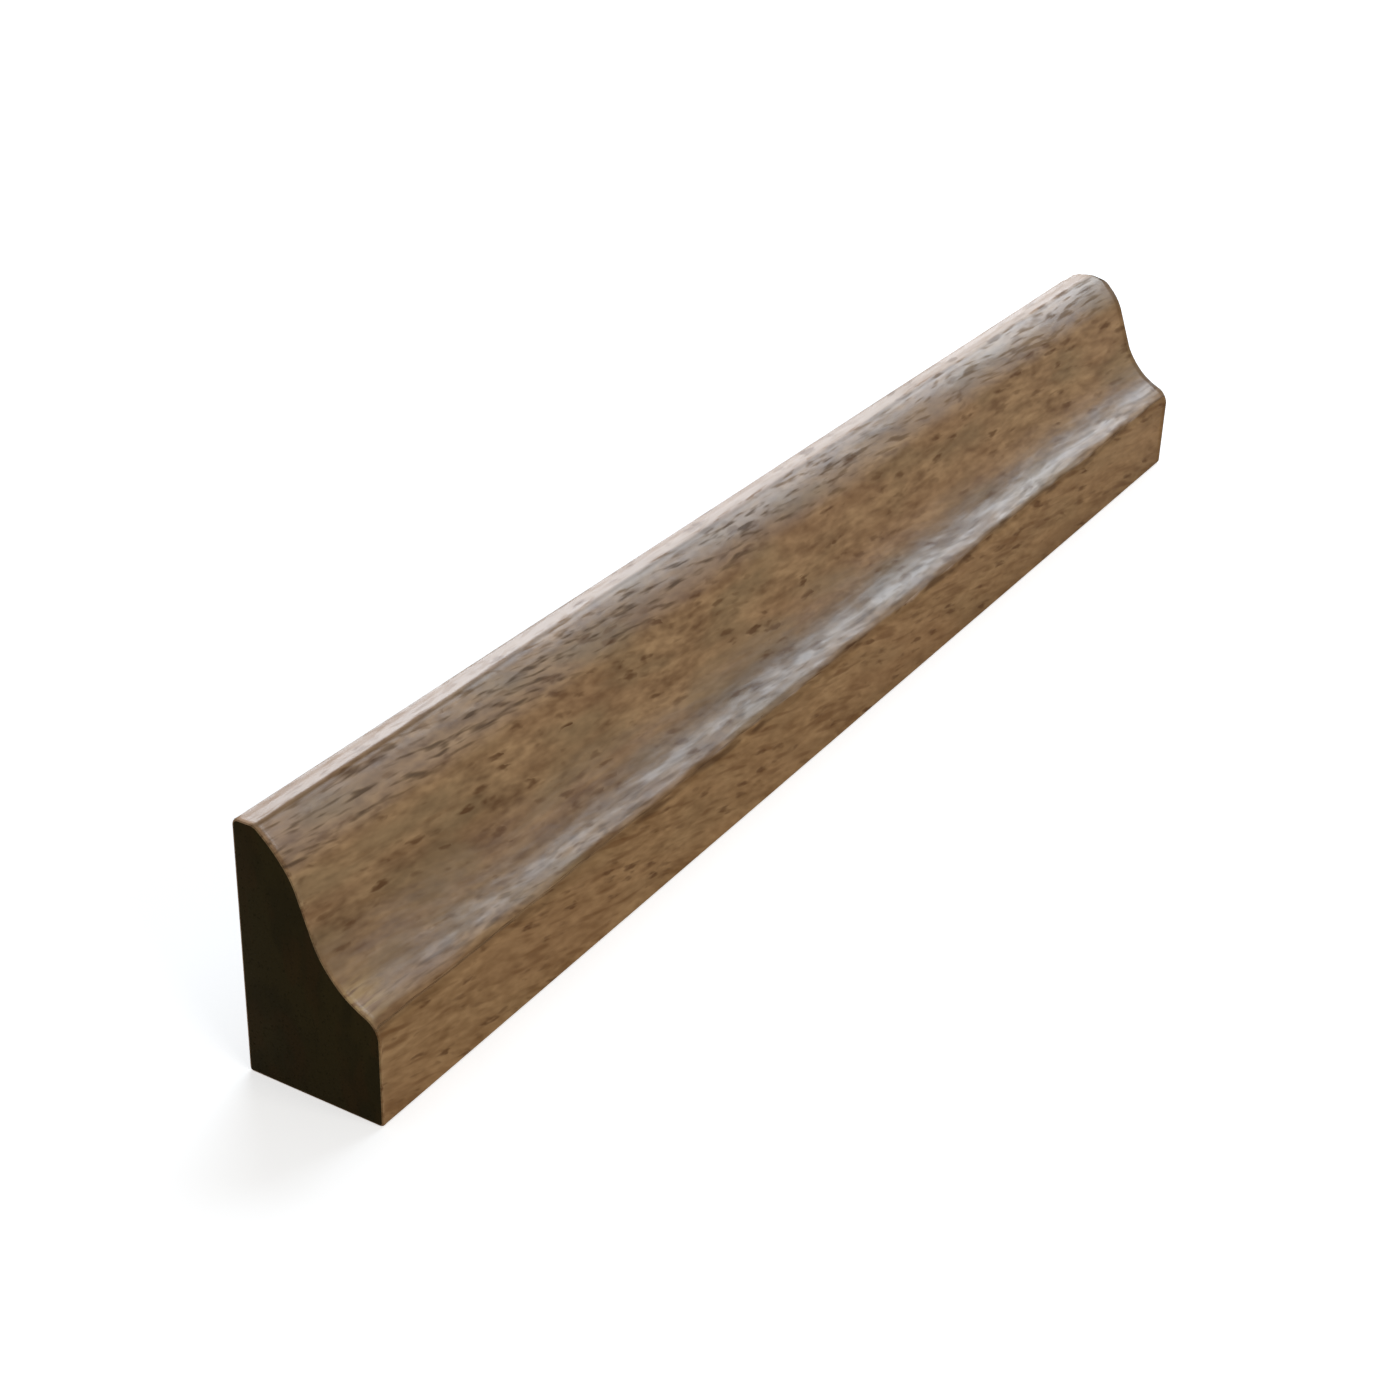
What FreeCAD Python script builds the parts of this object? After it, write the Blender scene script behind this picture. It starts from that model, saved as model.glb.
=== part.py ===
"""Ogee shoe moulding: one length of solid hardwood, run through a moulder and cut square at both ends.

The moulding lies as it is fixed, with its flat back upright against a skirting board and its flat
bottom on the floor. Its section runs, from the floor up the front: an upright land, a rounded nose,
a hollow cove, a steep face that swells into a shoulder, and a narrow flat top behind a soft crease.

Frame: +X runs along the length, -Y is the moulded front, +Y is the flat back and +Z is up. The
origin is in the middle of the bottom. All sizes are in millimetres.
"""

import FreeCAD, Part
import math
import os

# Overall sizes
LENGTH = 130.0
HEIGHT = 19.0
DEPTH = 10.8

# Corners of the section before they are rounded
NOSE_HEIGHT = 7.3          # from the bottom to the nose's corner, on the front plane
COVE_SETBACK = 4.0         # from the front plane to the cove's corner
COVE_RISE = 2.7            # from the nose's corner up to the cove's corner
SHOULDER_THICKNESS = 4.55  # from the back to the shoulder's corner
SHOULDER_DROP = 2.95       # from the top down to the shoulder's corner
TOP_WIDTH = 1.8            # from the back to the crease in front of the flat top

# Radii that the cutter leaves along the length
BOTTOM_FRONT_RADIUS = 0.3
NOSE_RADIUS = 2.1
COVE_RADIUS = 6.5
SHOULDER_RADIUS = 5.0
CREASE_RADIUS = 0.9
BACK_TOP_RADIUS = 0.5
BOTTOM_BACK_RADIUS = 0.25

# The rub of sandpaper round each sawn end
END_ARRIS = 0.15

NODE = "shoe_moulding"


def section_corners():
    """The section's sharp corners as (outward from the back, up), each with the radius that rounds it."""
    nose = (DEPTH, NOSE_HEIGHT)
    cove = (DEPTH - COVE_SETBACK, NOSE_HEIGHT + COVE_RISE)
    shoulder = (SHOULDER_THICKNESS, HEIGHT - SHOULDER_DROP)
    return [
        ((DEPTH, 0.0), BOTTOM_FRONT_RADIUS),
        (nose, NOSE_RADIUS),
        (cove, COVE_RADIUS),
        (shoulder, SHOULDER_RADIUS),
        ((TOP_WIDTH, HEIGHT), CREASE_RADIUS),
        ((0.0, HEIGHT), BACK_TOP_RADIUS),
        ((0.0, 0.0), BOTTOM_BACK_RADIUS),
    ]


def section_point(outward, up):
    """A point of the section as a vector at the near end of the length."""
    return FreeCAD.Vector(-LENGTH / 2, DEPTH / 2 - outward, up)


def corner_arc(before, corner, after, radius):
    """Start, middle and end of the arc that rounds a corner, limited to half of its shorter side."""
    to_before = before - corner
    to_after = after - corner
    half_angle = to_before.getAngle(to_after) / 2
    longest_tangent = min(to_before.Length, to_after.Length) / 2
    tangent = min(radius / math.tan(half_angle), longest_tangent)
    fitted_radius = tangent * math.tan(half_angle)
    to_before.normalize()
    to_after.normalize()
    inward = to_before + to_after
    inward.normalize()
    middle_distance = fitted_radius / math.sin(half_angle) - fitted_radius
    return (
        corner + to_before * tangent,
        corner + inward * middle_distance,
        corner + to_after * tangent,
    )


def section_face():
    """The moulding's section as a flat face, of straight sides joined by tangent arcs."""
    corners = [(section_point(*place), radius) for place, radius in section_corners()]
    arcs = []
    for i, (corner, radius) in enumerate(corners):
        before = corners[i - 1][0]
        after = corners[(i + 1) % len(corners)][0]
        arcs.append(corner_arc(before, corner, after, radius))
    edges = []
    for i, (start, middle, end) in enumerate(arcs):
        next_start = arcs[(i + 1) % len(arcs)][0]
        edges.append(Part.Arc(start, middle, end).toShape())
        edges.append(Part.LineSegment(end, next_start).toShape())
    return Part.Face(Part.Wire(edges))


def end_edges(solid):
    """The edges that lie in the plane of either sawn end."""
    half = LENGTH / 2
    flat = 1e-6
    found = []
    for edge in solid.Edges:
        box = edge.BoundBox
        if box.XLength < flat and abs(abs(box.XMin) - half) < flat:
            found.append(edge)
    return found


def moulding():
    """The whole length: the section drawn out along X, with its end arrises rubbed off."""
    run = section_face().extrude(FreeCAD.Vector(LENGTH, 0, 0))
    return run.makeChamfer(END_ARRIS, end_edges(run))


def main():
    """Builds the moulding and writes its STEP file."""
    os.makedirs("parts", exist_ok=True)
    piece = moulding()
    if not piece.isValid() or len(piece.Solids) != 1:
        raise RuntimeError("the moulding is not one valid solid")
    piece.Solids[0].exportStep(os.path.join("parts", NODE + ".step"))
    box = piece.BoundBox
    print("size %.2f x %.2f x %.2f mm" % (box.XLength, box.YLength, box.ZLength))
    print("volume %.1f mm3" % piece.Volume)


main()
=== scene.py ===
"""Dresses the ogee shoe moulding: one length of stained hardwood under a satin varnish.

Lengths are in metres in the part's own frame: +X runs along the length, -Y is the moulded front,
+Y is the flat back and +Z is up. The origin is in the middle of the bottom. The wood's grain, pores
and marks are in millimetres, as a maker would read them off a rule.
"""

import logging
import math
from dataclasses import dataclass
from enum import Enum, IntEnum
from functools import cached_property
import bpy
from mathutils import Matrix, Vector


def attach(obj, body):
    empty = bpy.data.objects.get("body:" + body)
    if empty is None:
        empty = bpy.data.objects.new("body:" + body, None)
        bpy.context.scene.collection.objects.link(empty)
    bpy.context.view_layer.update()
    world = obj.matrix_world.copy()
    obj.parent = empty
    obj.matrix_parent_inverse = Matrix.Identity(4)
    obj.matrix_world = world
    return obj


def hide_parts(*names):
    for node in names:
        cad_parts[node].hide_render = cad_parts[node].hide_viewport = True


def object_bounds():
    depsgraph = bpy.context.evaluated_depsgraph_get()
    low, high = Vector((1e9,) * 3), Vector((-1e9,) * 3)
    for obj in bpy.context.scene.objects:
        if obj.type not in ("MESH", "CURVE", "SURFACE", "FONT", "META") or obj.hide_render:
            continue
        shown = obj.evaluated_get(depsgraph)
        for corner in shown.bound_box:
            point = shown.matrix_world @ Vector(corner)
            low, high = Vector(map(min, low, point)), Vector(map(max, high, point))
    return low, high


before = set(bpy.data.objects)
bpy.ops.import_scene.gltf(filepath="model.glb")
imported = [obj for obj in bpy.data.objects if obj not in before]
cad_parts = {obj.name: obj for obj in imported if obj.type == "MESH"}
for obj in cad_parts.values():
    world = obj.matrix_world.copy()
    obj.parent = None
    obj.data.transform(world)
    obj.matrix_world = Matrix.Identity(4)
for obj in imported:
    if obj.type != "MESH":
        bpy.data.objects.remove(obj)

from types import MappingProxyType
from typing import Any, Callable, Mapping, Sequence, Union

import bmesh
import bpy
from mathutils import Matrix, Vector

CAD_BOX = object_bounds()
NODE = "shoe_moulding"
MM = 0.001

# How near two places lie to count as one, in metres, and the bevel profile that is an arc.
TOUCH = 1e-6
ARC_PROFILE = 0.5

# The solid's size, and the height of the nose's lower edge, in millimetres.
LENGTH, DEPTH, HEIGHT = (round((high - low) / MM, 2) for low, high in zip(*CAD_BOX))
NOSE_LINE = 7.3

Colour = tuple[float, float, float]
Size = tuple[float, float, float]
Levels = tuple[float, float]
Term = Union["Wire", float, Sequence[float]]
NOTHING: Mapping[Any, Any] = MappingProxyType({})
BLACK: Colour = (0.0, 0.0, 0.0)
WHITE: Colour = (1.0, 1.0, 1.0)

log = logging.getLogger("shoe_moulding")


def from_screen(red: int, green: int, blue: int) -> Colour:
    """The linear colour of a screen colour.

    Args:
        red: Red, from 0 to 255.
        green: Green, from 0 to 255.
        blue: Blue, from 0 to 255.

    Returns:
        The colour as light, each channel from 0 to 1.
    """

    def channel(level: int) -> float:
        """One channel as light."""
        share = level / 255
        return share / 12.92 if share <= 0.04045 else ((share + 0.055) / 1.055) ** 2.4

    return channel(red), channel(green), channel(blue)


class Wire:
    """One output of a node, which can stand in sums with numbers and with other outputs."""

    def __init__(self, bench: "Bench", socket: bpy.types.NodeSocket) -> None:
        """Keeps the output and the bench that its sums are made on."""
        self.bench = bench
        self.socket = socket

    def __add__(self, other: Term) -> "Wire":
        """This plus another."""
        return self.bench.maths("ADD", self, other)

    def __radd__(self, other: Term) -> "Wire":
        """Another plus this."""
        return self.bench.maths("ADD", other, self)

    def __sub__(self, other: Term) -> "Wire":
        """This less another."""
        return self.bench.maths("SUBTRACT", self, other)

    def __rsub__(self, other: Term) -> "Wire":
        """Another less this."""
        return self.bench.maths("SUBTRACT", other, self)

    def __mul__(self, other: Term) -> "Wire":
        """This times another."""
        return self.bench.maths("MULTIPLY", self, other)

    def __rmul__(self, other: Term) -> "Wire":
        """Another times this."""
        return self.bench.maths("MULTIPLY", other, self)


class Bench:
    """Lays nodes in one tree, whether it is a finish's, the relief's or the world's."""

    def __init__(self, tree: bpy.types.NodeTree) -> None:
        """Clears the tree and keeps it."""
        tree.nodes.clear()
        self.tree = tree

    def node(
        self, kind: str, settings: Mapping[str, Any] = NOTHING, sockets: Mapping[Any, Term] = NOTHING
    ) -> bpy.types.Node:
        """Adds one node.

        Args:
            kind: The node's type.
            settings: The node's own properties, set before its sockets.
            sockets: Values or wires by a socket's name or number.

        Returns:
            The node.
        """
        node = self.tree.nodes.new(kind)
        for name, value in settings.items():
            setattr(node, name, value)
        for key, value in sockets.items():
            if isinstance(key, int):
                socket = node.inputs[key]
            else:
                socket = next(s for s in node.inputs if s.name == key and s.enabled)
            if isinstance(value, Wire):
                self.tree.links.new(value.socket, socket)
            elif socket.type == "RGBA":
                socket.default_value = (*value[:3], 1.0)
            else:
                socket.default_value = value
        return node

    def wire(
        self,
        kind: str,
        settings: Mapping[str, Any] = NOTHING,
        sockets: Mapping[Any, Term] = NOTHING,
        output: Union[int, str] = 0,
    ) -> Wire:
        """Adds one node and takes one of its outputs.

        Args:
            kind: The node's type.
            settings: The node's own properties.
            sockets: Values or wires by a socket's name or number.
            output: The output's name or number.

        Returns:
            The output.
        """
        node = self.node(kind, settings, sockets)
        if isinstance(output, str):
            return Wire(self, next(s for s in node.outputs if s.name == output and s.enabled))
        return Wire(self, node.outputs[output])

    def maths(self, operation: str, first: Term, second: Term) -> Wire:
        """A sum of two numbers."""
        return self.wire("ShaderNodeMath", {"operation": operation}, {0: first, 1: second})

    def vector(self, operation: str, first: Term, second: Term) -> Wire:
        """A sum of two vectors."""
        return self.wire("ShaderNodeVectorMath", {"operation": operation}, {0: first, 1: second})

    def scaled(self, vector: Wire, times: Term) -> Wire:
        """A vector made so many times as long."""
        sockets = {"Vector": vector, "Scale": times}
        return self.wire("ShaderNodeVectorMath", {"operation": "SCALE"}, sockets)

    def part(self, place: Wire, axis: int) -> Wire:
        """One of a place's three numbers."""
        return self.wire("ShaderNodeSeparateXYZ", {}, {0: place}, axis)

    def away(self, value: Wire, centre: float) -> Wire:
        """How far a value lies from a centre, on either side."""
        return self.wire("ShaderNodeMath", {"operation": "ABSOLUTE"}, {0: value - centre})

    def largest(self, *values: Wire) -> Wire:
        """The largest of several values.

        Args:
            values: The values, at least one.

        Returns:
            The largest.
        """
        found = values[0]
        for value in values[1:]:
            found = self.maths("MAXIMUM", found, value)
        return found

    def blend(self, share: Wire, levels: Levels) -> Wire:
        """A level between two: the first at a share of 0 and the second at a share of 1."""
        return levels[0] + (levels[1] - levels[0]) * share

    def mix(self, first: Term, second: Term, share: Term) -> Wire:
        """One colour turned towards another.

        Args:
            first: The colour at a share of 0.
            second: The colour at a share of 1.
            share: How far it turns, from 0 to 1.

        Returns:
            The colour.
        """
        sockets = {"Factor": share, "A": first, "B": second}
        return self.wire("ShaderNodeMix", {"data_type": "RGBA"}, sockets, "Result")


@dataclass(frozen=True)
class Fade:
    """A soft step: the measures that it runs between, either way round, and its levels there."""

    start: float
    end: float
    before: float = 0.0
    after: float = 1.0

    def of(self, measure: Wire) -> Wire:
        """The step's level.

        Args:
            measure: What the step runs along.

        Returns:
            The level.
        """
        ends = sorted(((self.start, self.before), (self.end, self.after)))
        (low, at_low), (high, at_high) = ends
        levels = {"To Min": at_low, "To Max": at_high}
        sockets = {"Value": measure, "From Min": low, "From Max": high, **levels}
        return measure.bench.wire("ShaderNodeMapRange", {"interpolation_type": "SMOOTHSTEP"}, sockets)


@dataclass(frozen=True)
class Mottle:
    """A soft random pattern: its blotches' size in millimetres and how finely they are broken.

    Where it is read as patches, its fade says between which levels a patch begins.
    """

    size: Size
    detail: float = 1.0
    fade: Fade = Fade(0.0, 1.0)

    def laid(self, place: Wire, output: int) -> Wire:
        """Lays the pattern.

        Args:
            place: Where, in millimetres.
            output: 0 for its level, 1 for three levels in one.

        Returns:
            What was asked for.
        """
        scaled = place.bench.vector("DIVIDE", place, self.size)
        sockets = {"Vector": scaled, "Scale": 1.0, "Detail": self.detail}
        return place.bench.wire("ShaderNodeTexNoise", {}, sockets, output)

    def level(self, place: Wire) -> Wire:
        """The pattern's level, about 0.5."""
        return self.laid(place, 0)

    def swing(self, place: Wire) -> Wire:
        """The pattern's level, about 0."""
        return self.level(place) - 0.5

    def patches(self, place: Wire) -> Wire:
        """How far a patch covers the place."""
        return self.fade.of(self.level(place))

    def push(self, place: Wire) -> Wire:
        """A random push, each of its three numbers from about -1 to 1."""
        centred = place.bench.vector("SUBTRACT", self.laid(place, 1), (0.5, 0.5, 0.5))
        return place.bench.scaled(centred, 2.0)


@dataclass(frozen=True)
class Grain:
    """How the wood is made inside, in millimetres: where it is figured, pored and ridged.

    The relief and the finishes both read it, so a pore that is dark is also sunk.
    """

    slope: Fade = Fade(NOSE_LINE + 0.1, NOSE_LINE - 0.1, 0.13, 0.24)
    opening: float = 0.0022
    wandering: Mottle = Mottle((18.0, 9.0, 9.0))
    wander: Size = (0.0, 1.0, 1.0)
    pore_pitch: Size = (2.6, 0.72, 0.72)
    pore_radius: Levels = (0.20, 0.44)
    pore_rim: Fade = Fade(-0.05, 0.30)
    pore_share: Levels = (0.30, 0.92)
    tearing: Mottle = Mottle((1.1, 0.40, 0.40))
    tear: Size = (0.9, 0.24, 0.24)
    toothing: Mottle = Mottle((1.6, 0.30, 0.30))
    tooth: float = 0.6
    hair: Mottle = Mottle((3.0, 0.31, 0.31), 1.5)
    streak: Mottle = Mottle((4.2, 0.55, 0.55), 1.0, Fade(0.54, 0.74))
    blotch: Mottle = Mottle((4.0, 1.0, 1.0))
    ridge: Mottle = Mottle((9.0, 0.60, 0.60))
    fibre: Mottle = Mottle((1.2, 0.40, 0.40))
    wave: Mottle = Mottle((14.0, 6.0, 6.0), 0.0)

    def along(self, place: Wire) -> Wire:
        """Turns a place in the moulding into one along the wood's own wandering grain.

        Args:
            place: Where, in millimetres.

        Returns:
            The place beside the grain's own run, in millimetres.
        """
        bench = place.bench
        lengthwise = bench.part(place, 0)
        sloped = lengthwise * self.slope.of(bench.part(place, 2))
        shifted = bench.wire("ShaderNodeCombineXYZ", {}, {2: sloped})
        wandered = bench.vector("MULTIPLY", self.wandering.push(place), self.wander)
        run = bench.vector("ADD", bench.vector("ADD", place, shifted), wandered)
        closeness = 1.0 - self.opening * (lengthwise + LENGTH / 2)
        return bench.scaled(run, closeness)

    def pores(self, grain: Wire) -> Wire:
        """Where the short open pores lie, from 0 to 1: a soft fleck in each cell of the wood.

        Args:
            grain: Where beside the grain, in millimetres.

        Returns:
            The level.
        """
        bench = grain.bench
        torn = bench.vector("MULTIPLY", self.tearing.push(grain), self.tear)
        cell = bench.vector("DIVIDE", bench.vector("ADD", grain, torn), self.pore_pitch)
        found = bench.node("ShaderNodeTexVoronoi", {}, {"Vector": cell, "Scale": 1.0})
        chance = bench.part(Wire(bench, found.outputs["Color"]), 0)
        inside = bench.blend(chance, self.pore_radius) - Wire(bench, found.outputs["Distance"])
        inside = inside + self.tooth * self.toothing.swing(grain)
        return self.pore_rim.of(inside) * bench.blend(chance * chance, self.pore_share)


GRAIN = Grain()


@dataclass
class Spot:
    """A spot on the moulding, in millimetres, on the bench where its sums are made."""

    bench: Bench
    place: Wire
    nose_waver: Mottle = Mottle((5.0, 40.0, 40.0), 2.5)

    @cached_property
    def along(self) -> Wire:
        """How far it lies from the near end."""
        return self.bench.part(self.place, 0) + LENGTH / 2

    @cached_property
    def outward(self) -> Wire:
        """How far it stands out from the back."""
        return DEPTH / 2 - self.bench.part(self.place, 1)

    @cached_property
    def up(self) -> Wire:
        """How high it lies."""
        return self.bench.part(self.place, 2)

    @cached_property
    def wavering_up(self) -> Wire:
        """How high it lies beside the nose's lower edge, which strays up and down."""
        return self.up + self.nose_waver.swing(self.place)

    @cached_property
    def grain(self) -> Wire:
        """Where it lies beside the wood's own wandering grain."""
        return GRAIN.along(self.place)

    @cached_property
    def hair(self) -> Wire:
        """The hair-fine lines that the polish picks out there."""
        return GRAIN.hair.level(self.grain)


@dataclass(frozen=True)
class Polish:
    """How far handling has polished the varnish: most on the nose, the shoulder and the top.

    Its fades run from the near end, up from the bottom or out from the back, in millimetres, or
    over the level of the fine lines.
    """

    near: Fade = Fade(45.0, 8.0)
    far: Fade = Fade(75.0, 110.0)
    past_near: Fade = Fade(20.0, 60.0)
    before_far: Fade = Fade(112.0, 75.0)
    arris: Fade = Fade(0.20, 0.80, 0.05, 1.0)
    ragged: Mottle = Mottle((7.0, 1.1, 1.1))
    wisp: Mottle = Mottle((4.6, 0.60, 0.60), 1.0, Fade(0.36, 0.62))
    edge_lift: float = 0.20
    edge: Fade = Fade(NOSE_LINE - 0.06, NOSE_LINE + 0.22)
    rim: Fade = Fade(NOSE_LINE + 0.52, NOSE_LINE + 0.32, 0.0, 0.34)
    cove: Fade = Fade(11.9, 9.0, 0.0, 0.60)
    cove_ragged: float = 0.9
    cove_shift: float = 0.5
    cove_wisps: Levels = (0.74, 1.16)
    crest: Fade = Fade(8.62, 8.26, 0.0, 0.27)
    crest_ragged: float = 0.3
    crest_wisps: Levels = (0.50, 1.30)
    dip: Fade = Fade(8.14, 7.95)
    dip_depth: Levels = (0.22, 0.38)
    nose_hairs: Fade = Fade(0.36, 0.56, 0.78, 1.10)
    nose_far: Levels = (1.0, 0.92)
    nose_end: Fade = Fade(18.0, 5.0, 1.0, 1.25)
    nose_rubbed: Fade = Fade(4.5, 1.0, 0.0, 0.35)
    shoulder: Fade = Fade(15.5, 17.3)
    shoulder_middle: Levels = (1.0, 0.80)
    shoulder_hairs: Fade = Fade(0.30, 0.50, 0.32, 1.12)
    crease_line: float = 1.60
    crease: Fade = Fade(0.30, 0.08)
    crease_depth: Levels = (0.36, 0.96)
    top: Fade = Fade(1.45, 1.15)
    top_back: Fade = Fade(0.7, 0.3, 1.0, 0.87)
    top_hairs: Fade = Fade(0.3, 0.52, 0.84, 1.0)
    top_near: Levels = (1.0, 0.94)

    def share(self, spot: Spot) -> Wire:
        """How far the varnish is polished.

        Args:
            spot: Where.

        Returns:
            The share, from 0 to 1.
        """
        near = self.near.of(spot.along)
        ragged = self.ragged.swing(spot.grain)
        nose = self.on_nose(spot, near, ragged)
        shoulder = self.on_shoulder(spot, near, ragged)
        return spot.bench.largest(nose, shoulder, self.on_top(spot, near)) * self.arris.of(spot.along)

    def on_nose(self, spot: Spot, near: Wire, ragged: Wire) -> Wire:
        """The polish on the nose, which fades out up the cove.

        Args:
            spot: Where.
            near: 1 at the near end.
            ragged: How far the polish's edges stray.

        Returns:
            The share.
        """
        bench = spot.bench
        far = self.far.of(spot.along)
        wisps = self.wisp.patches(spot.grain)
        above = spot.wavering_up - self.edge_lift * near
        cove_up = spot.up + self.cove_ragged * ragged - self.cove_shift * near + self.cove_shift * far
        cove = self.cove.of(cove_up) * bench.blend(wisps, self.cove_wisps)
        crest = self.crest.of(spot.up + self.crest_ragged * ragged)
        dip = self.dip.of(spot.up) * bench.blend(near, self.dip_depth)
        rim = self.rim.of(above) * (1.0 - near)
        nose = cove + (crest - dip + rim) * bench.blend(wisps, self.crest_wisps)
        nose = nose * self.edge.of(above) * self.nose_hairs.of(spot.hair) * bench.blend(far, self.nose_far)
        return nose * (self.nose_end.of(spot.along) - self.nose_rubbed.of(spot.along))

    def on_shoulder(self, spot: Spot, near: Wire, ragged: Wire) -> Wire:
        """The polish on the shoulder, less the crease below the top.

        Args:
            spot: Where.
            near: 1 at the near end.
            ragged: How far the polish's edges stray.

        Returns:
            The share.
        """
        bench = spot.bench
        middle = self.past_near.of(spot.along) * self.before_far.of(spot.along)
        shoulder = self.shoulder.of(spot.up + ragged) * bench.blend(middle, self.shoulder_middle)
        crease = self.crease.of(bench.away(spot.outward, self.crease_line))
        crease = crease * bench.blend(near, self.crease_depth)
        return shoulder * self.shoulder_hairs.of(spot.hair) * (1.0 - crease)

    def on_top(self, spot: Spot, near: Wire) -> Wire:
        """The polish on the narrow top.

        Args:
            spot: Where.
            near: 1 at the near end.

        Returns:
            The share.
        """
        top = self.top.of(spot.outward) * self.top_back.of(spot.outward)
        return top * self.top_hairs.of(spot.hair) * spot.bench.blend(near, self.top_near)


@dataclass(frozen=True)
class StainAndShade:
    """Where the wood is coloured darker: painted shade below the polish, short strokes drawn by the stain,
    and dark lines that are partly stain and partly painted shade.
    """

    # Where painted shade darkens the wood: below the polish, and up the front near the near end.
    shade_length: Fade = Fade(-25.0, 55.0)
    shade_far: Fade = Fade(75.0, 115.0, 1.0, 0.6)
    shade_nose: Fade = Fade(10.4, 8.8, 0.0, 0.50)
    shade_nose_tip: Fade = Fade(8.35, 7.8, 1.0, 0.58)
    shade_nose_edge: Fade = Fade(NOSE_LINE - 0.1, NOSE_LINE + 0.1)
    shade_shoulder: tuple[Fade, Fade] = (Fade(15.6, 17.8), Fade(18.9, 18.0))
    shade_shoulder_depth: Levels = (0.26, 0.14)
    shade_end: Fade = Fade(40.0, 5.0)
    shade_end_face: tuple[Fade, Fade] = (Fade(15.0, 12.0), Fade(9.4, 10.4, 0.0, 0.22))
    stroke_band: tuple[Fade, Fade] = (Fade(15.6, 16.8), Fade(18.9, 18.2))
    stroke_length: Fade = Fade(45.0, 98.0, 0.74, 0.32)
    stroke_nose_line: float = 7.95
    stroke_nose: Fade = Fade(0.55, 0.25, 0.0, 0.45)
    stroke_hairs: Fade = Fade(0.50, 0.27)
    dash: Mottle = Mottle((4.5, 0.8, 0.8), 2.0, Fade(0.44, 0.62, 0.26, 0.82))
    # The dark line under the nose: partly stain, partly painted shade.
    under_nose_line: float = NOSE_LINE - 0.20
    under_nose: Fade = Fade(0.44, 0.08, 0.0, 0.9)
    under_nose_near: Fade = Fade(45.0, 8.0, 1.0, 0.65)
    line_waver: Mottle = Mottle((9.0, 40.0, 40.0), 2.0)
    # The dark lines under the top's edge, at the foot and at the far end: partly stain, partly painted
    # shade.
    crease_line: float = 1.75
    crease_waver: float = 0.6
    crease: Fade = Fade(0.30, 0.05, 0.0, 0.30)
    crease_height: Fade = Fade(18.2, 18.5)
    foot_waver: float = 2.0
    foot: Fade = Fade(2.6, 0.0, 0.0, 0.30)
    foot_length: Fade = Fade(25.0, 115.0)
    far_end: Fade = Fade(LENGTH - 0.7, LENGTH - 0.1, 0.0, 0.25)

    def painted_shade(self, spot: Spot) -> Wire:
        """Where painted shade darkens the wood: below the polished nose and shoulder, and up the front
        near the near end.

        Args:
            spot: Where.

        Returns:
            The share, from 0 to 1.
        """
        along, up = spot.along, spot.up
        length = self.shade_length.of(along) * self.shade_far.of(along)
        nose = self.shade_nose.of(up) * self.shade_nose_tip.of(up) * self.shade_nose_edge.of(up)
        end = self.shade_end.of(along)
        bottom, top = self.shade_shoulder
        shoulder = bottom.of(up) * top.of(up) * spot.bench.blend(end, self.shade_shoulder_depth)
        top, bottom = self.shade_end_face
        face = end * top.of(up) * bottom.of(up)
        return spot.bench.largest(nose * length, shoulder, face)

    def strokes(self, spot: Spot) -> Wire:
        """The short dark strokes that crowd along the shoulder and the nose.

        Args:
            spot: Where.

        Returns:
            The share, from 0 to 1.
        """
        bottom, top = self.stroke_band
        shoulder = bottom.of(spot.up) * top.of(spot.up) * self.stroke_length.of(spot.along)
        nose = self.stroke_nose.of(spot.bench.away(spot.up, self.stroke_nose_line))
        return spot.bench.largest(shoulder, nose) * self.stroke_hairs.of(spot.hair)

    def stain_and_shade_lines(self, spot: Spot) -> Wire:
        """Dark lines, partly stain and partly painted shade: under the nose, under the top's edge, at the
        foot and along the far end.

        Args:
            spot: Where.

        Returns:
            The share, from 0 to 1.
        """
        bench = spot.bench
        nose = self.under_nose.of(bench.away(spot.wavering_up, self.under_nose_line))
        nose = nose * self.dash.patches(spot.place) * self.under_nose_near.of(spot.along)
        waver = self.line_waver.swing(spot.place)
        crease = self.crease.of(bench.away(spot.outward + self.crease_waver * waver, self.crease_line))
        crease = crease * self.crease_height.of(spot.up)
        foot = self.foot.of(spot.up + self.foot_waver * waver) * self.foot_length.of(spot.along)
        return bench.largest(nose, crease, foot, self.far_end.of(spot.along))


@dataclass(frozen=True)
class Wear:
    """Where the varnish is rubbed thin: the near end's arris and the nose beside it."""

    ragged: Mottle = Mottle((1.2, 0.5, 0.5), 2.0, Fade(0.42, 0.58, 0.0, 0.45))
    arris: Fade = Fade(0.24, 0.12)
    arris_ragged: float = 0.25
    nose_length: Fade = Fade(6.0, 2.0)
    nose_ragged: float = 3.0
    nose_height: float = 8.5
    nose: Fade = Fade(1.1, 0.3, 0.0, 0.72)
    scuff: Mottle = Mottle((2.5, 0.4, 0.4), 2.0, Fade(0.36, 0.56))

    def share(self, spot: Spot) -> Wire:
        """How far the varnish is gone.

        Args:
            spot: Where.

        Returns:
            The share, from 0 to 1.
        """
        ragged = self.ragged.level(spot.place)
        arris = self.arris.of(spot.along + self.arris_ragged * ragged) * self.ragged.fade.of(ragged)
        length = self.nose_length.of(spot.along + self.nose_ragged * ragged)
        height = self.nose.of(spot.bench.away(spot.up, self.nose_height))
        return spot.bench.largest(arris, length * height * self.scuff.patches(spot.place))


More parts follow.
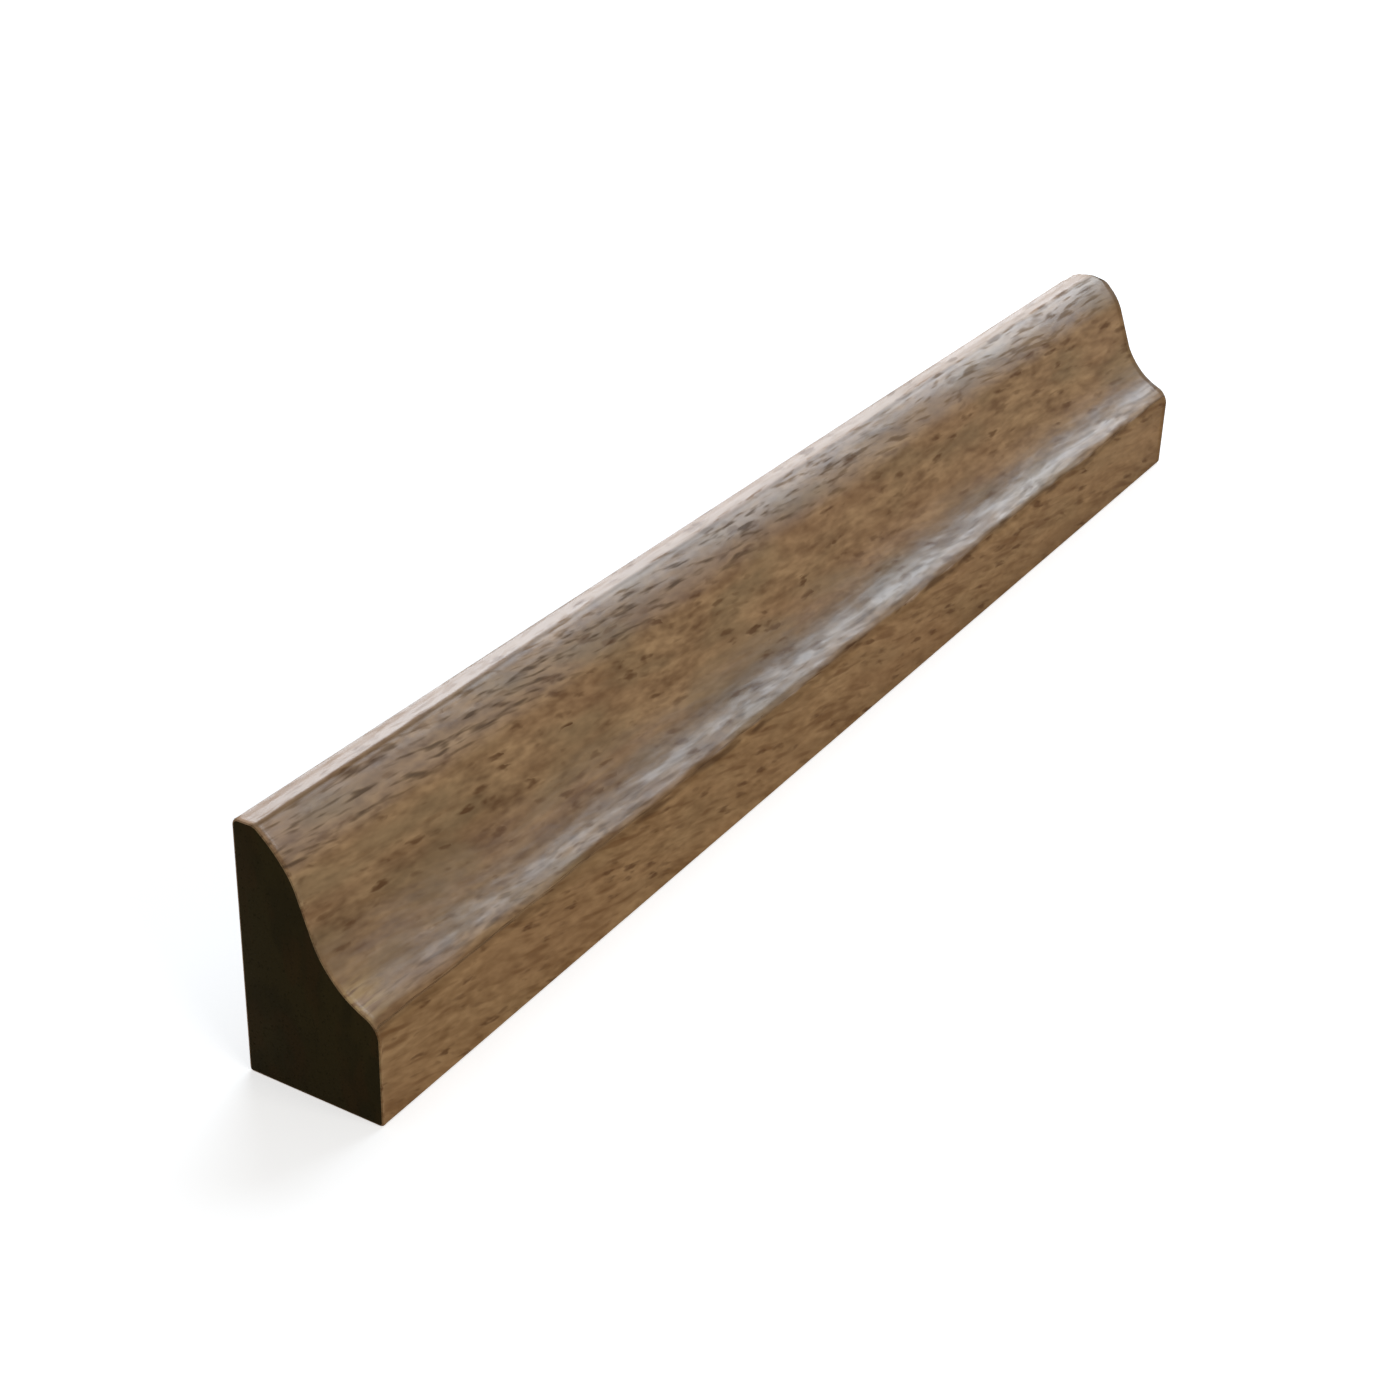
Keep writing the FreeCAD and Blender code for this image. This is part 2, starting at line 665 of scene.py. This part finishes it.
@dataclass(frozen=True)
class Finish:
    """What every finish has: a name, its dullness, its gloss and its fine relief's depth."""

    name: str
    roughness: float
    pore_roughness: float
    specular: float
    relief: float

    def made(self) -> bpy.types.Material:
        """Makes the material.

        Returns:
            The material, with its nodes laid.
        """
        material = bpy.data.materials.new(self.name)
        material.use_nodes = True
        bench = Bench(material.node_tree)
        metres = bench.wire("ShaderNodeTexCoord", {}, {}, "Object")
        surface = self.surface(Spot(bench, bench.scaled(metres, 1 / MM)))
        bench.node("ShaderNodeOutputMaterial", {}, {"Surface": surface})
        return material

    def surface(self, spot: Spot) -> Wire:
        """The shader's output.

        Args:
            spot: Where.

        Returns:
            The shader.
        """
        raise NotImplementedError

    def shaded(
        self, colour: Wire, pores: Wire, height: Wire, coat: Mapping[str, Term] = NOTHING
    ) -> Wire:
        """The wood's shader, duller in its pores.

        Args:
            colour: The wood's colour.
            pores: Where its pores lie, from 0 to 1.
            height: Its fine relief, whose full depth is the finish's own.
            coat: The varnish's own sockets.

        Returns:
            The shader.
        """
        bench = colour.bench
        bump = {"Strength": 1.0, "Distance": self.relief * MM, "Height": height}
        sockets = {
            "Base Color": colour,
            "Roughness": self.roughness + self.pore_roughness * pores,
            "Specular IOR Level": self.specular,
            "Normal": bench.wire("ShaderNodeBump", {}, bump),
            **coat,
        }
        return bench.wire("ShaderNodeBsdfPrincipled", {}, sockets)


@dataclass(frozen=True)
class SatinVarnish(Finish):
    """Stained hardwood under a satin varnish, on the moulded front and the narrow top."""

    name: str = "satin_varnish"
    roughness: float = 0.72
    pore_roughness: float = 0.1
    specular: float = 0.08
    relief: float = 0.10
    coat_roughness: float = 0.30
    coat_pores: float = 0.35
    deep: Colour = from_screen(99, 72, 47)
    light: Colour = from_screen(158, 128, 93)
    blotch_light: float = 1.35
    ridge_light: float = 0.3
    fibre_light: float = 1.05
    least_light: float = -0.85
    russet: Colour = from_screen(126, 93, 66)
    russet_patch: Mottle = Mottle((18.0, 4.0, 4.0), 1.0, Fade(0.36, 0.64, 0.0, 0.30))
    olive: Colour = from_screen(117, 99, 72)
    olive_patch: Mottle = Mottle((9.0, 2.6, 2.6), 1.0, Fade(0.44, 0.70))
    olive_share: Levels = (0.45, 0.25)
    land: Colour = from_screen(126, 91, 47)
    land_share: float = 0.3
    land_edge: Fade = Fade(NOSE_LINE + 0.3, NOSE_LINE - 0.3)
    # The dark colour of the painted shade below the polish.
    painted_shade: Colour = from_screen(40, 32, 22)
    # The pale colour of the painted light on the narrow top.
    painted_top_light: Colour = from_screen(172, 138, 110)
    top: Fade = Fade(1.7, 1.2, 0.0, 0.75)
    streak: Colour = from_screen(92, 60, 30)
    streak_share: Levels = (0.22, 0.60)
    streak_polished: Levels = (1.0, 0.5)
    stroke: Colour = from_screen(58, 42, 28)
    pore: Colour = from_screen(76, 48, 25)
    pore_polished: Levels = (0.90, 0.495)
    # The colour of the dark lines that are partly stain and partly painted shade.
    stain_and_shade_lines: Colour = from_screen(64, 42, 22)
    bare: Colour = from_screen(164, 138, 98)
    ridge_rise: float = 0.5
    fibre_rise: float = 0.25
    blotch_rise: float = 0.8
    pore_drop: float = 0.25
    polish: Polish = Polish()
    # The stain's own strokes, the painted shade, and the dark lines that are partly stain and partly
    # painted shade.
    stain: StainAndShade = StainAndShade()
    wear: Wear = Wear()

    def surface(self, spot: Spot) -> Wire:
        """The varnished wood, figured, pored and a little worn along its ends.

        Args:
            spot: Where.

        Returns:
            The shader.
        """
        bench = spot.bench
        pores = GRAIN.pores(spot.grain)
        blotches = GRAIN.blotch.level(spot.grain)
        ridges = GRAIN.ridge.level(spot.place)
        fibres = GRAIN.fibre.level(spot.grain)
        low = self.land_edge.of(spot.up)
        level = self.blotch_light * blotches + self.ridge_light * ridges
        level = level + self.fibre_light * fibres + self.least_light
        colour = self.figured(spot, low, level)
        # Painted shade: the wood is darkened below the polished nose and shoulder and up the front near
        # the near end.
        colour = bench.mix(colour, self.painted_shade, self.stain.painted_shade(spot))
        # Painted light: the narrow top is made paler, standing in for the light and sheen that it catches.
        colour = bench.mix(colour, self.painted_top_light, self.top.of(spot.outward))
        polish = self.polish.share(spot)
        streaks = GRAIN.streak.patches(spot.grain) * bench.blend(low, self.streak_share)
        colour = bench.mix(colour, self.streak, streaks * bench.blend(polish, self.streak_polished))
        colour = bench.mix(colour, self.stroke, self.stain.strokes(spot))
        colour = bench.mix(colour, self.pore, pores * bench.blend(polish, self.pore_polished))
        # Dark lines under the nose, under the top's edge, at the foot and at the far end: partly stain,
        # partly painted shade.
        colour = bench.mix(colour, self.stain_and_shade_lines, self.stain.stain_and_shade_lines(spot))
        colour = bench.mix(colour, self.bare, self.wear.share(spot))
        height = self.ridge_rise * ridges + self.fibre_rise * fibres
        height = height + self.blotch_rise * blotches - self.pore_drop * pores
        coat = {
            "Coat Weight": polish * (1.0 - self.coat_pores * pores),
            "Coat Roughness": self.coat_roughness,
        }
        return self.shaded(colour, pores, height, coat)

    def figured(self, spot: Spot, low: Wire, level: Wire) -> Wire:
        """The stained wood's own colour, before its pores and streaks.

        Args:
            spot: Where.
            low: 1 on the flat land under the nose, 0 above it.
            level: How light the wood is, from 0 to 1.

        Returns:
            The colour.
        """
        bench = spot.bench
        colour = bench.mix(self.deep, self.light, level)
        colour = bench.mix(colour, self.russet, self.russet_patch.patches(spot.grain))
        olive = self.olive_patch.patches(spot.grain) * bench.blend(low, self.olive_share)
        colour = bench.mix(colour, self.olive, olive)
        return bench.mix(colour, self.land, self.land_share * low)


@dataclass(frozen=True)
class EndGrain(Finish):
    """The sawn ends, where the stain has sunk in deep and dried almost black."""

    name: str = "end_grain"
    roughness: float = 0.75
    pore_roughness: float = 0.15
    specular: float = 0.03
    relief: float = 0.03
    dark: Colour = from_screen(48, 40, 20)
    darker: Colour = from_screen(38, 32, 16)
    darker_patch: Mottle = Mottle((3.0, 2.2, 4.0), 2.0, Fade(0.42, 0.62, 0.0, 0.7))
    russet: Colour = from_screen(54, 38, 19)
    russet_patch: Mottle = Mottle((3.0, 1.6, 3.2), 1.0, Fade(0.48, 0.66, 0.0, 0.45))
    pore: Mottle = Mottle((0.4, 0.16, 0.16), 1.0, Fade(0.6, 0.72))
    pore_share: float = 0.7
    pore_drop: float = 0.6
    ring: Mottle = Mottle((4.0, 3.5, 0.28), 2.0)
    ring_rise: float = 0.3
    saw: Mottle = Mottle((2.0, 0.22, 6.0))
    saw_rise: float = 0.5

    def surface(self, spot: Spot) -> Wire:
        """The soaked end grain, with its open pores and the saw's faint marks.

        Args:
            spot: Where.

        Returns:
            The shader.
        """
        bench, place = spot.bench, spot.place
        pores = self.pore.patches(place)
        colour = bench.mix(self.dark, self.darker, self.darker_patch.patches(place))
        colour = bench.mix(colour, self.russet, self.russet_patch.patches(place))
        colour = bench.mix(colour, self.darker, self.pore_share * pores)
        height = self.saw_rise * self.saw.level(place) + self.ring_rise * self.ring.level(place)
        return self.shaded(colour, pores, height - self.pore_drop * pores)


@dataclass(frozen=True)
class PlanedBack(Finish):
    """The back and the bottom: planed flat, wiped with stain and left unvarnished."""

    name: str = "planed_back"
    roughness: float = 0.68
    pore_roughness: float = 0.1
    specular: float = 0.2
    relief: float = 0.02
    pale: Colour = from_screen(140, 114, 84)
    brown: Colour = from_screen(116, 89, 63)
    band: Mottle = Mottle((24.0, 1.5, 1.5), 3.0, Fade(0.36, 0.64))
    fibre: Mottle = Mottle((5.0, 0.18, 0.18), 2.0)
    fibre_share: float = 0.5
    fibre_rise: float = 0.8
    pore: Colour = from_screen(84, 60, 40)
    pore_share: float = 0.6
    pore_drop: float = 0.8
    cutter_pitch: float = 1.6
    cutter_rise: float = 0.2

    def surface(self, spot: Spot) -> Wire:
        """The planed wood, with straight grain and the cutter's even ripples across it.

        Args:
            spot: Where.

        Returns:
            The shader.
        """
        bench = spot.bench
        fibres = self.fibre.level(spot.grain)
        pores = GRAIN.pores(spot.grain)
        turn = bench.part(spot.place, 0) * (2 * math.pi / self.cutter_pitch)
        ripple = bench.wire("ShaderNodeMath", {"operation": "SINE"}, {0: turn})
        colour = bench.mix(self.pale, self.brown, self.band.patches(spot.grain))
        colour = bench.mix(colour, self.brown, self.fibre_share * fibres)
        colour = bench.mix(colour, self.pore, self.pore_share * pores)
        height = self.cutter_rise * ripple + self.fibre_rise * fibres
        return self.shaded(colour, pores, height - self.pore_drop * pores)


class Face(IntEnum):
    """The moulding's kinds of face, in the order of its material slots."""

    SHOWN = 0
    SAWN = 1
    PLANED = 2


class Element(Enum):
    """What a mesh is made of, under the names that select it."""

    POINT = "VERT"
    EDGE = "EDGE"
    FACE = "FACE"


@dataclass(frozen=True)
class Corner:
    """A corner of the section: its place out from the back and up, and the radius that rounds it."""

    outward: float
    up: float
    radius: float


@dataclass(frozen=True)
class Rubbing:
    """A stretch at the far end that is rubbed soft, from some height up, so many times."""

    reach: float
    height: float
    times: int
    spares_back: bool


def choose(piece: bpy.types.Object, kind: Element, test: Callable[[Any], bool]) -> None:
    """Selects the points, edges or faces of a piece that pass a test. The piece is in edit mode.

    Args:
        piece: The piece being shaped.
        kind: What is selected.
        test: Says whether an element is wanted.
    """
    bpy.ops.mesh.select_mode(type=kind.value)
    bpy.ops.mesh.select_all(action="DESELECT")
    shape = bmesh.from_edit_mesh(piece.data)
    elements = {Element.POINT: shape.verts, Element.EDGE: shape.edges, Element.FACE: shape.faces}
    for element in [element for element in elements[kind] if test(element)]:
        element.select_set(True)
    bmesh.update_edit_mesh(piece.data)


@dataclass(frozen=True)
class Relief:
    """The wood's relief over the moulded front, in millimetres: what lies how deep, and where.

    It fades out at the sawn ends, the back and the bottom, and stays within the solid.
    """

    pore_depth: float = 0.02
    ridge_depth: float = 0.04
    blotch_depth: float = 0.06
    wave_depth: float = 0.30
    from_end: Fade = Fade(0.0, 0.5)
    from_back: Fade = Fade(0.05, 0.6)
    from_bottom: Fade = Fade(0.05, 0.6)

    def cut(self, piece: bpy.types.Object) -> None:
        """Sinks the pores and the low ground of the grain into a piece's mesh.

        Args:
            piece: The piece, in object mode.
        """
        group = bpy.data.node_groups.new("relief", "GeometryNodeTree")
        bench = Bench(group)
        group.interface.new_socket("Mesh", in_out="INPUT", socket_type="NodeSocketGeometry")
        group.interface.new_socket("Mesh", in_out="OUTPUT", socket_type="NodeSocketGeometry")
        mesh = bench.wire("NodeGroupInput")
        normal = bench.wire("GeometryNodeInputNormal")
        spot = Spot(bench, bench.scaled(bench.wire("GeometryNodeInputPosition"), 1 / MM))
        inward = bench.scaled(normal, -MM * self.depth(spot))
        moved = bench.wire("GeometryNodeSetPosition", {}, {"Geometry": mesh, "Offset": inward})
        bench.node("NodeGroupOutput", {}, {0: moved})
        modifier = piece.modifiers.new("relief", "NODES")
        modifier.node_group = group
        bpy.ops.object.modifier_apply(modifier=modifier.name)
        bpy.data.node_groups.remove(group)

    def depth(self, spot: Spot) -> Wire:
        """How deep the surface lies under the solid's.

        Args:
            spot: Where.

        Returns:
            The depth, in millimetres.
        """
        from_middle = spot.bench.away(spot.bench.part(spot.place, 0), 0.0)
        sunk = (
            self.pore_depth * GRAIN.pores(spot.grain)
            + self.ridge_depth * GRAIN.ridge.level(spot.place)
            + self.blotch_depth * GRAIN.blotch.level(spot.grain)
            + self.wave_depth * GRAIN.wave.level(spot.place)
        )
        sunk = sunk * self.from_end.of(LENGTH / 2 - from_middle)
        return sunk * self.from_back.of(spot.outward) * self.from_bottom.of(spot.up)


@dataclass
class Moulding:
    """The length of moulding: its section, rounded, drawn out, eased at its ends and relieved."""

    name: str = "moulding_run"
    length: float = LENGTH * MM
    depth: float = DEPTH * MM
    height: float = HEIGHT * MM
    bottom_front: Corner = Corner(DEPTH * MM, 0.0, 0.3 * MM)
    nose: Corner = Corner(DEPTH * MM, 7.5 * MM, 1.7 * MM)
    lip: Corner = Corner(9.0 * MM, 8.42 * MM, 6.0 * MM)
    cove: Corner = Corner(6.75 * MM, 9.95 * MM, 6.5 * MM)
    shoulder: Corner = Corner(4.55 * MM, 16.05 * MM, 5.0 * MM)
    brow: Corner = Corner(3.18 * MM, 17.80 * MM, 8.0 * MM)
    crease: Corner = Corner(1.8 * MM, HEIGHT * MM, 0.9 * MM)
    back_top: Corner = Corner(0.0, HEIGHT * MM, 0.5 * MM)
    bottom_back: Corner = Corner(0.0, 0.0, 0.25 * MM)
    fine_pitch: float = 0.2 * MM
    plain_pitch: float = 1.2 * MM
    fewest_cuts: int = 3
    bays: int = 100
    rows_in_bay: int = 5
    end_arris: float = 0.15 * MM
    end_arris_cuts: int = 2
    knock: float = 1.2 * MM
    knock_drop: float = 0.12 * MM
    knock_reach: float = 2.4 * MM
    rubbings: tuple[Rubbing, ...] = (
        Rubbing(18.0 * MM, 17.0 * MM, 3, True),
        Rubbing(13.0 * MM, 17.3 * MM, 4, True),
        Rubbing(9.0 * MM, 17.6 * MM, 5, True),
        Rubbing(5.0 * MM, 17.9 * MM, 6, False),
        Rubbing(2.5 * MM, 18.2 * MM, 6, False),
    )
    spared_back: float = 0.6 * MM
    rub: float = 0.5
    relief: Relief = Relief()
    square_on: float = 0.9
    sharp_angle: float = 40.0

    @property
    def corners(self) -> tuple[Corner, ...]:
        """The section's corners, up the front and down the back."""
        front = (self.bottom_front, self.nose, self.lip, self.cove, self.shoulder, self.brow)
        return (*front, self.crease, self.back_top, self.bottom_back)

    def at(self, corner: Corner) -> Vector:
        """Where a corner lies at the near end."""
        return Vector((-self.length / 2, self.depth / 2 - corner.outward, corner.up))

    def built(self) -> bpy.types.Object:
        """Builds and dresses the moulding.

        Returns:
            The finished piece, at the origin, riding on the part's body.
        """
        piece = self.blank()
        bpy.ops.object.mode_set(mode="EDIT")
        self.carry_corners(piece)
        self.round_corners(piece)
        self.divide_section(piece)
        self.draw_out()
        self.ease_ends(piece)
        self.divide_length(piece)
        self.knock_far_corner(piece)
        self.rub_far_crease(piece)
        self.face_ends(piece)
        bpy.ops.object.mode_set(mode="OBJECT")
        self.relief.cut(piece)
        self.dress(piece)
        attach(piece, "root")
        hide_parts(NODE)
        return piece

    def blank(self) -> bpy.types.Object:
        """Lays the blank's end: a rectangle of the section's depth and height.

        Returns:
            The rectangle, at the near end.
        """
        bpy.ops.mesh.primitive_plane_add(
            size=1.0,
            location=(-self.length / 2, 0.0, self.height / 2),
            rotation=(0.0, math.pi / 2, 0.0),
        )
        piece = bpy.context.object
        piece.name = piece.data.name = self.name
        piece.scale = (self.height, self.depth, 1.0)
        bpy.ops.object.transform_apply(location=True, rotation=True, scale=True)
        return piece

    def choose_nearest(self, piece: bpy.types.Object, place: Vector) -> None:
        """Selects the point of the piece that is nearest to a place.

        Args:
            piece: The piece being shaped.
            place: The place, in metres.
        """
        shape = bmesh.from_edit_mesh(piece.data)
        index = min(shape.verts, key=lambda vert: (vert.co - place).length).index
        choose(piece, Element.POINT, lambda vert: vert.index == index)

    def carry_corners(self, piece: bpy.types.Object) -> None:
        """Divides the blank's front edge and carries its points to the corners of the section.

        Args:
            piece: The piece being shaped.
        """
        front = -self.depth / 2
        choose(piece, Element.EDGE, lambda e: all(abs(v.co.y - front) < TOUCH for v in e.verts))
        carried = self.corners[1:-2]
        bpy.ops.mesh.subdivide(number_cuts=len(carried) - 1)
        for number, corner in reversed(list(enumerate(carried, start=1))):
            start = Vector((-self.length / 2, front, self.height * number / len(carried)))
            self.choose_nearest(piece, start)
            bpy.ops.transform.translate(value=self.at(corner) - start)

    def round_corners(self, piece: bpy.types.Object) -> None:
        """Rounds each corner of the section to its radius.

        Args:
            piece: The piece being shaped.
        """
        corners = self.corners
        for i, corner in enumerate(corners):
            here = self.at(corner)
            before = self.at(corners[i - 1]) - here
            after = self.at(corners[(i + 1) % len(corners)]) - here
            angle = before.angle(after)
            arc = corner.radius * (math.pi - angle)
            self.choose_nearest(piece, here)
            bpy.ops.mesh.bevel(
                affect="VERTICES",
                offset_type="OFFSET",
                offset=corner.radius / math.tan(angle / 2),
                segments=max(self.fewest_cuts, round(arc / self.fine_pitch)),
                profile=ARC_PROFILE,
            )

    def divide_section(self, piece: bpy.types.Object) -> None:
        """Divides the section's straight sides, finely where the relief shows.

        Args:
            piece: The piece being shaped.
        """
        back = self.depth / 2

        def cuts(edge: bmesh.types.BMEdge) -> int:
            """How often an edge is to be cut.

            Args:
                edge: The edge.

            Returns:
                The number of cuts.
            """
            one, two = (vert.co for vert in edge.verts)
            hidden = abs(one.y - back) < TOUCH and abs(two.y - back) < TOUCH
            hidden = hidden or (abs(one.z) < TOUCH and abs(two.z) < TOUCH)
            pitch = self.plain_pitch if hidden else self.fine_pitch
            return round(edge.calc_length() / pitch) - 1

        while True:
            shape = bmesh.from_edit_mesh(piece.data)
            shape.edges.index_update()
            coarse = next((edge for edge in shape.edges if cuts(edge) > 0), None)
            if coarse is None:
                return
            index, number = coarse.index, cuts(coarse)
            choose(piece, Element.EDGE, lambda edge: edge.index == index)
            bpy.ops.mesh.subdivide(number_cuts=number)

    def draw_out(self) -> None:
        """Draws the section out along the whole length and closes it."""
        bpy.ops.mesh.select_all(action="SELECT")
        bpy.ops.mesh.extrude_region_move(TRANSFORM_OT_translate={"value": (self.length, 0.0, 0.0)})
        bpy.ops.mesh.select_all(action="SELECT")
        bpy.ops.mesh.normals_make_consistent(inside=False)

    def ease_ends(self, piece: bpy.types.Object) -> None:
        """Rubs the arris off round each sawn end.

        Args:
            piece: The piece being shaped.
        """
        half = self.length / 2

        def on_rim(edge: bmesh.types.BMEdge) -> bool:
            """Whether an edge runs round one of the two ends."""
            one, two = (vert.co.x for vert in edge.verts)
            return abs(abs(one) - half) < TOUCH and abs(one - two) < TOUCH

        choose(piece, Element.EDGE, on_rim)
        bpy.ops.mesh.bevel(
            affect="EDGES",
            offset_type="OFFSET",
            offset=self.end_arris,
            segments=self.end_arris_cuts,
            profile=ARC_PROFILE,
        )

    def divide_length(self, piece: bpy.types.Object) -> None:
        """Divides the long sides into bays and each bay into even rows.

        Args:
            piece: The piece being shaped.
        """
        row = self.length / (self.bays * self.rows_in_bay)
        for times in (self.bays, self.rows_in_bay):
            choose(piece, Element.EDGE, lambda e: abs(e.verts[0].co.x - e.verts[1].co.x) > 1.5 * row)
            bpy.ops.mesh.subdivide(number_cuts=times - 1)

    def knock_far_corner(self, piece: bpy.types.Object) -> None:
        """Knocks the far end's top corner round.

        Args:
            piece: The piece being shaped.
        """
        top = Vector((self.length / 2, self.depth / 2 - self.back_top.radius, self.height))
        self.choose_nearest(piece, top)
        bpy.ops.transform.translate(
            value=(-self.knock, 0.0, -self.knock_drop),
            use_proportional_edit=True,
            proportional_edit_falloff="SMOOTH",
            proportional_size=self.knock_reach,
        )

    def rub_far_crease(self, piece: bpy.types.Object) -> None:
        """Wears the top's front edge away, more and more towards the far end.

        Args:
            piece: The piece being shaped.
        """
        for rubbing in self.rubbings:
            start, low = self.length / 2 - rubbing.reach, rubbing.height
            spared = self.spared_back if rubbing.spares_back else 0.0
            limit = self.depth / 2 - spared + TOUCH
            choose(
                piece, Element.POINT, lambda v: v.co.x > start and v.co.z > low and v.co.y < limit
            )
            bpy.ops.mesh.vertices_smooth(factor=self.rub, repeat=rubbing.times)

    def face_ends(self, piece: bpy.types.Object) -> None:
        """Lays each end face as triangles between its two sides, so that it follows its rim.

        Args:
            piece: The piece being shaped.
        """
        choose(piece, Element.FACE, lambda face: len(face.verts) > 4)
        bpy.ops.mesh.quads_convert_to_tris(quad_method="BEAUTY", ngon_method="BEAUTY")

    def dress(self, piece: bpy.types.Object) -> None:
        """Gives each kind of face its finish and shades the piece smooth between its arrises.

        Args:
            piece: The shaped piece.
        """
        finishes = {Face.SHOWN: SatinVarnish(), Face.SAWN: EndGrain(), Face.PLANED: PlanedBack()}
        for kind in Face:
            piece.data.materials.append(finishes[kind].made())
        for polygon in piece.data.polygons:
            polygon.material_index = self.kind_of(polygon)
        bpy.ops.object.shade_smooth_by_angle(angle=math.radians(self.sharp_angle))

    def kind_of(self, polygon: bpy.types.MeshPolygon) -> Face:
        """Which kind a face is: the sawn ends are triangles, and the rest goes by its direction.

        Args:
            polygon: The face.

        Returns:
            Its kind.
        """
        if len(polygon.vertices) == 3:
            return Face.SAWN
        normal = polygon.normal
        if normal.y > self.square_on or normal.z < -self.square_on:
            return Face.PLANED
        return Face.SHOWN


@dataclass(frozen=True)
class Lamp:
    """A soft rectangular lamp that looks at the moulding."""

    name: str
    place: tuple[float, float, float]
    width: float
    height: float
    power: float
    colour: Colour

    def hang(self) -> None:
        """Hangs the lamp, facing the origin."""
        light = bpy.data.lights.new(self.name, "AREA")
        light.shape = "RECTANGLE"
        light.size = self.width
        light.size_y = self.height
        light.energy = self.power
        light.color = self.colour
        lamp = bpy.data.objects.new(self.name, light)
        lamp.location = self.place
        lamp.rotation_euler = (-Vector(self.place)).to_track_quat("-Z", "Y").to_euler()
        bpy.context.scene.collection.objects.link(lamp)


@dataclass(frozen=True)
class Studio:
    """A pale floor, two soft lamps and a plain pale world."""

    floor_reach: float = 3.0
    floor_colour: float = 0.78
    floor_glow: Fade = Fade(0.25, 0.9, 0.55, 1.0)
    world_levels: Levels = (0.25, 1.0)
    window: Lamp = Lamp(
        "window", (0.53, 0.12, 0.42), width=0.84, height=0.34, power=4.6, colour=(0.82, 0.91, 1.0)
    )
    fill: Lamp = Lamp(
        "fill", (-0.12, -0.62, 0.30), width=0.50, height=0.40, power=2.5, colour=(1.0, 0.96, 0.90)
    )

    def build(self) -> None:
        """Lays the floor, hangs the lamps and sets the world and the view's transform."""
        self.lay_floor()
        self.light_world()
        self.window.hang()
        self.fill.hang()
        bpy.context.scene.view_settings.view_transform = "Standard"

    def seen(self, bench: Bench) -> Wire:
        """1 for a ray from the camera, or for one that is mirrored or passes through glass.

        Args:
            bench: The bench to work on.

        Returns:
            1 or 0.
        """
        path = bench.node("ShaderNodeLightPath")
        names = ("Is Camera Ray", "Is Glossy Ray", "Is Transmission Ray")
        return bench.largest(*(Wire(bench, path.outputs[name]) for name in names))

    def lay_floor(self) -> None:
        """Lays a pale floor that keeps the moulding's shadow."""
        bpy.ops.mesh.primitive_plane_add(size=2 * self.floor_reach, location=(0.0, 0.0, 0.0))
        floor = bpy.context.object
        floor.name = "floor"
        material = bpy.data.materials.new("pale_floor")
        material.use_nodes = True
        bench = Bench(material.node_tree)
        diffuse = bench.wire("ShaderNodeBsdfDiffuse", {}, {"Color": (self.floor_colour,) * 3})
        place = bench.wire("ShaderNodeTexCoord", {}, {}, "Object")
        away = bench.wire("ShaderNodeVectorMath", {"operation": "LENGTH"}, {0: place}, 1)
        colour = bench.mix(BLACK, WHITE, self.floor_glow.of(away))
        glow = bench.wire("ShaderNodeEmission", {}, {"Color": colour, "Strength": self.seen(bench)})
        both = bench.wire("ShaderNodeAddShader", {}, {0: diffuse, 1: glow})
        bench.node("ShaderNodeOutputMaterial", {}, {"Surface": both})
        floor.data.materials.append(material)

    def light_world(self) -> None:
        """Makes the world white to look at and softer as light."""
        world = bpy.data.worlds.new("pale_world")
        bpy.context.scene.world = world
        world.use_nodes = True
        bench = Bench(world.node_tree)
        strength = bench.blend(self.seen(bench), self.world_levels)
        background = bench.wire("ShaderNodeBackground", {}, {"Color": WHITE, "Strength": strength})
        bench.node("ShaderNodeOutputWorld", {}, {"Surface": background})


@dataclass(frozen=True)
class Viewpoint:
    """The camera, held above the near end and looking down the length. Angles are in degrees."""

    place: tuple[float, float, float] = (-0.15688, -0.08071, 0.09453)
    azimuth: float = -59.747
    elevation: float = 28.431
    roll: float = -1.884
    focal_length: float = 61.276
    sensor_width: float = 36.0
    nearest_seen: float = 0.005

    def build(self) -> None:
        """Makes the camera and gives it to the scene."""
        azimuth, elevation = math.radians(self.azimuth), math.radians(self.elevation)
        roll = math.radians(self.roll)
        back = Vector(
            (
                math.sin(azimuth) * math.cos(elevation),
                -math.cos(azimuth) * math.cos(elevation),
                math.sin(elevation),
            )
        )
        level = Vector((0.0, 0.0, 1.0)).cross(back).normalized()
        upright = back.cross(level)
        right = math.cos(roll) * level - math.sin(roll) * upright
        up = math.sin(roll) * level + math.cos(roll) * upright
        data = bpy.data.cameras.new("viewpoint")
        data.lens = self.focal_length
        data.sensor_width = self.sensor_width
        data.clip_start = self.nearest_seen
        camera = bpy.data.objects.new("viewpoint", data)
        turned = Matrix((right, up, back)).transposed().to_4x4()
        camera.matrix_world = Matrix.Translation(self.place) @ turned
        bpy.context.scene.collection.objects.link(camera)
        bpy.context.scene.camera = camera


def main() -> None:
    """Builds the camera, the moulding and the studio, and reports the piece."""
    logging.basicConfig(level=logging.INFO, format="%(name)s: %(message)s")
    bpy.ops.object.select_all(action="DESELECT")
    Viewpoint().build()
    piece = Moulding().built()
    log.info("%s: %d faces", piece.name, len(piece.data.polygons))
    Studio().build()


if __name__ == "__main__":
    main()
